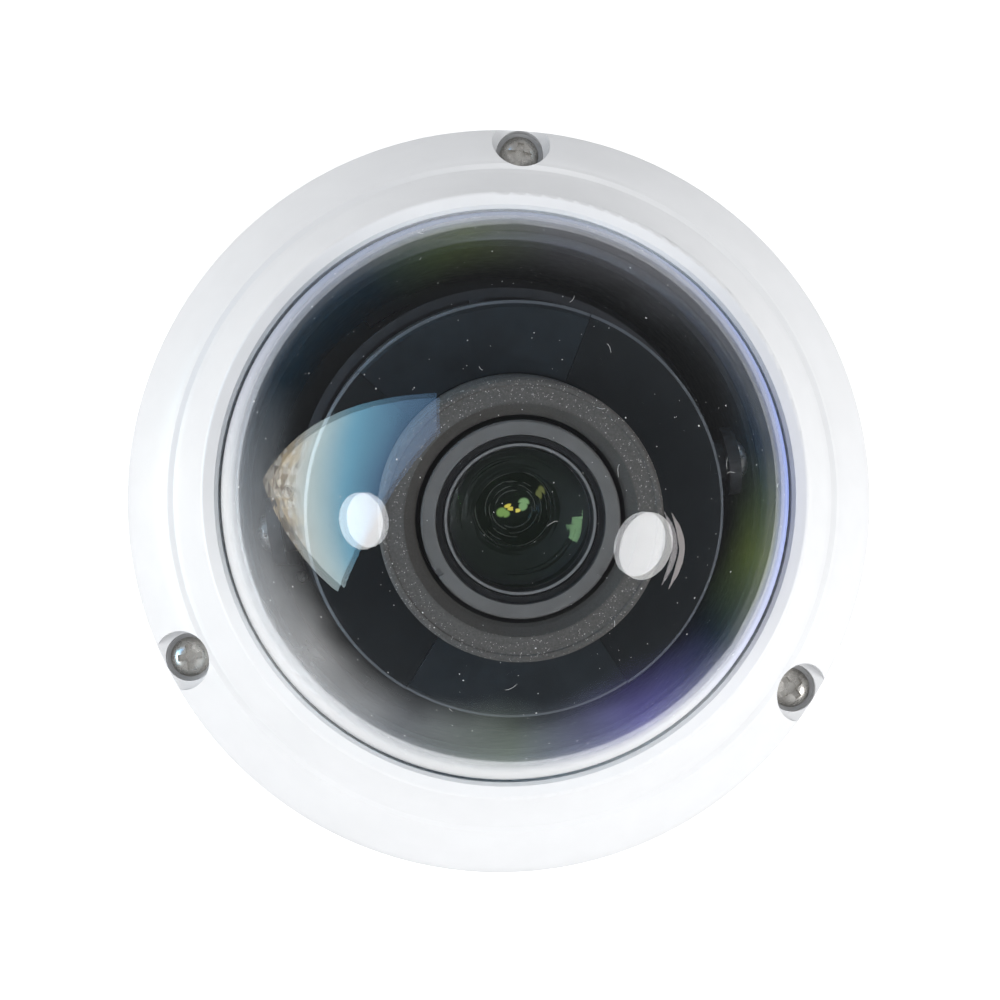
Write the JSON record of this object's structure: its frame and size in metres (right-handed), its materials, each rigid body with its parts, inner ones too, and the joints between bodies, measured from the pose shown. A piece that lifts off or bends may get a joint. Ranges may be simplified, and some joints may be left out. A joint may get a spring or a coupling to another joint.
{
  "type": "dome surveillance camera",
  "caption": "Vandal-resistant dome camera: round white cover with a clear dome over a lens module on a pan, tilt and roll gimbal, with infrared windows.",
  "frame": {"origin": "centre of the mounting face, on the dome's axis, at the base's back plane", "axes": "+Z along the dome's axis, away from the mounting face; +Y towards the cover screw at the top; +X to the right seen from the front"},
  "size_m": [0.122, 0.122, 0.089],
  "materials": {
    "white_paint": "satin white powder coat",
    "clear_polycarbonate": "gloss",
    "black_plastic": "matt",
    "face_plastic": "matt",
    "smoked_window": "gloss",
    "shield_rubber": "matt, speckled",
    "seal_rubber": "matt",
    "screw_steel": "bright",
    "plate_steel": "brushed",
    "yoke_metal": "satin",
    "circuit_board": "solder mask",
    "component_black": "moulded",
    "capacitor_can": "bright",
    "connector_nylon": "moulded",
    "led_lens": "clear resin",
    "lens_black": "anodised look",
    "lens_grey": "satin",
    "lens_ring": "satin",
    "lens_glass": "coated",
    "sensor_cover": "gloss",
    "filter_glass": "coated"
  },
  "bodies": {
    "base": {"base_housing": "white_paint", "base_seal": "seal_rubber", "conduit_plug": "white_paint", "conduit_plug_seal": "seal_rubber", "cable_grommet": "seal_rubber", "pan_carrier": "black_plastic", "carrier_screws": "screw_steel", "inner_liner": "black_plastic", "main_board": "circuit_board", "board_screws": "screw_steel", "processor_shield": "plate_steel", "power_transformer": "component_black", "capacitors": "capacitor_can", "network_connector": "connector_nylon", "memory_card_slot": "plate_steel", "reset_switch": "component_black"},
    "cover": {"cover_shell": "white_paint", "clear_dome": "clear_polycarbonate", "dome_gasket": "seal_rubber", "dome_retaining_ring": "plate_steel", "dome_ring_screws": "screw_steel", "cover_screws": "screw_steel", "captive_washers": "seal_rubber"},
    "pan": {"pan_ring": "yoke_metal", "yoke_arm_left": "yoke_metal", "yoke_arm_right": "yoke_metal", "yoke_screws": "screw_steel"},
    "tilt": {"gimbal_ring": "yoke_metal", "tilt_washers": "seal_rubber", "tilt_pivot_screws": "screw_steel"},
    "module": {"module_shell": "black_plastic", "rear_cap": "black_plastic", "rear_cap_screws": "screw_steel", "module_face": "face_plastic", "ir_window_left": "smoked_window", "ir_window_right": "smoked_window", "ir_led_board": "circuit_board", "ir_leds": "led_lens", "light_sensor": "sensor_cover", "light_shield": "shield_rubber", "lens_bracket": "plate_steel", "lens_tube": "lens_black", "lens_mount": "lens_black", "sensor_board": "circuit_board", "image_sensor": "sensor_cover", "sensor_screws": "screw_steel"},
    "zoom_control": {"zoom_ring": "lens_black"},
    "zoom_group": {"zoom_barrel": "lens_black", "zoom_lens": "lens_glass", "rear_lens": "lens_glass"},
    "focus_control": {"focus_ring": "lens_black"},
    "focus_group": {"front_barrel": "lens_grey", "front_lens_ring": "lens_ring", "front_element": "lens_glass"},
    "filter_slide": {"ir_cut_filter": "filter_glass"},
    "reset_key": {"reset_button": "component_black"}
  },
  "joints": [
    {"name": "cover_lift", "type": "slide", "parent": "base", "child": "cover", "axis": [0, 0, 1], "range_m": [0, 0.07]},
    {"name": "pan_turn", "type": "hinge", "parent": "base", "child": "pan", "pos_m": [0, 0, 0.044], "axis": [0, 0, 1], "range_deg": [-175, 175]},
    {"name": "tilt_turn", "type": "hinge", "parent": "pan", "child": "tilt", "pos_m": [0, 0, 0.044], "axis": [0.9877, 0.1564, 0], "range_deg": [-8.7, 66.3]},
    {"name": "roll_turn", "type": "hinge", "parent": "tilt", "child": "module", "pos_m": [0, 0, 0.044], "axis": [0.0237, -0.1494, 0.9885], "range_deg": [-175, 175]},
    {"name": "zoom_turn", "type": "hinge", "parent": "module", "child": "zoom_control", "pos_m": [0, 0, 0.044], "axis": [0.0237, -0.1494, 0.9885], "range_deg": [0, 100.2]},
    {"name": "zoom_travel", "type": "slide", "parent": "module", "child": "zoom_group", "axis": [0.0237, -0.1494, 0.9885], "range_m": [0, 0.003]},
    {"name": "focus_turn", "type": "hinge", "parent": "module", "child": "focus_control", "pos_m": [0, 0, 0.044], "axis": [0.0237, -0.1494, 0.9885], "range_deg": [-45.2, 45.2]},
    {"name": "focus_travel", "type": "slide", "parent": "module", "child": "focus_group", "axis": [0.0237, -0.1494, 0.9885], "range_m": [-0.0006, 0.0006]},
    {"name": "filter_shift", "type": "slide", "parent": "module", "child": "filter_slide", "axis": [0.9877, 0.1564, 0], "range_m": [0, 0.0064]},
    {"name": "reset_press", "type": "slide", "parent": "base", "child": "reset_key", "axis": [0, 0, -1], "range_m": [0, 0.0004], "stiffness_N_per_m": 400, "springref_m": -0.0002}
  ],
  "couplings": [
    {"joint": "zoom_turn", "follows": "zoom_travel", "rad_per_m": 581.78},
    {"joint": "focus_turn", "follows": "focus_travel", "rad_per_m": 1309}
  ]
}
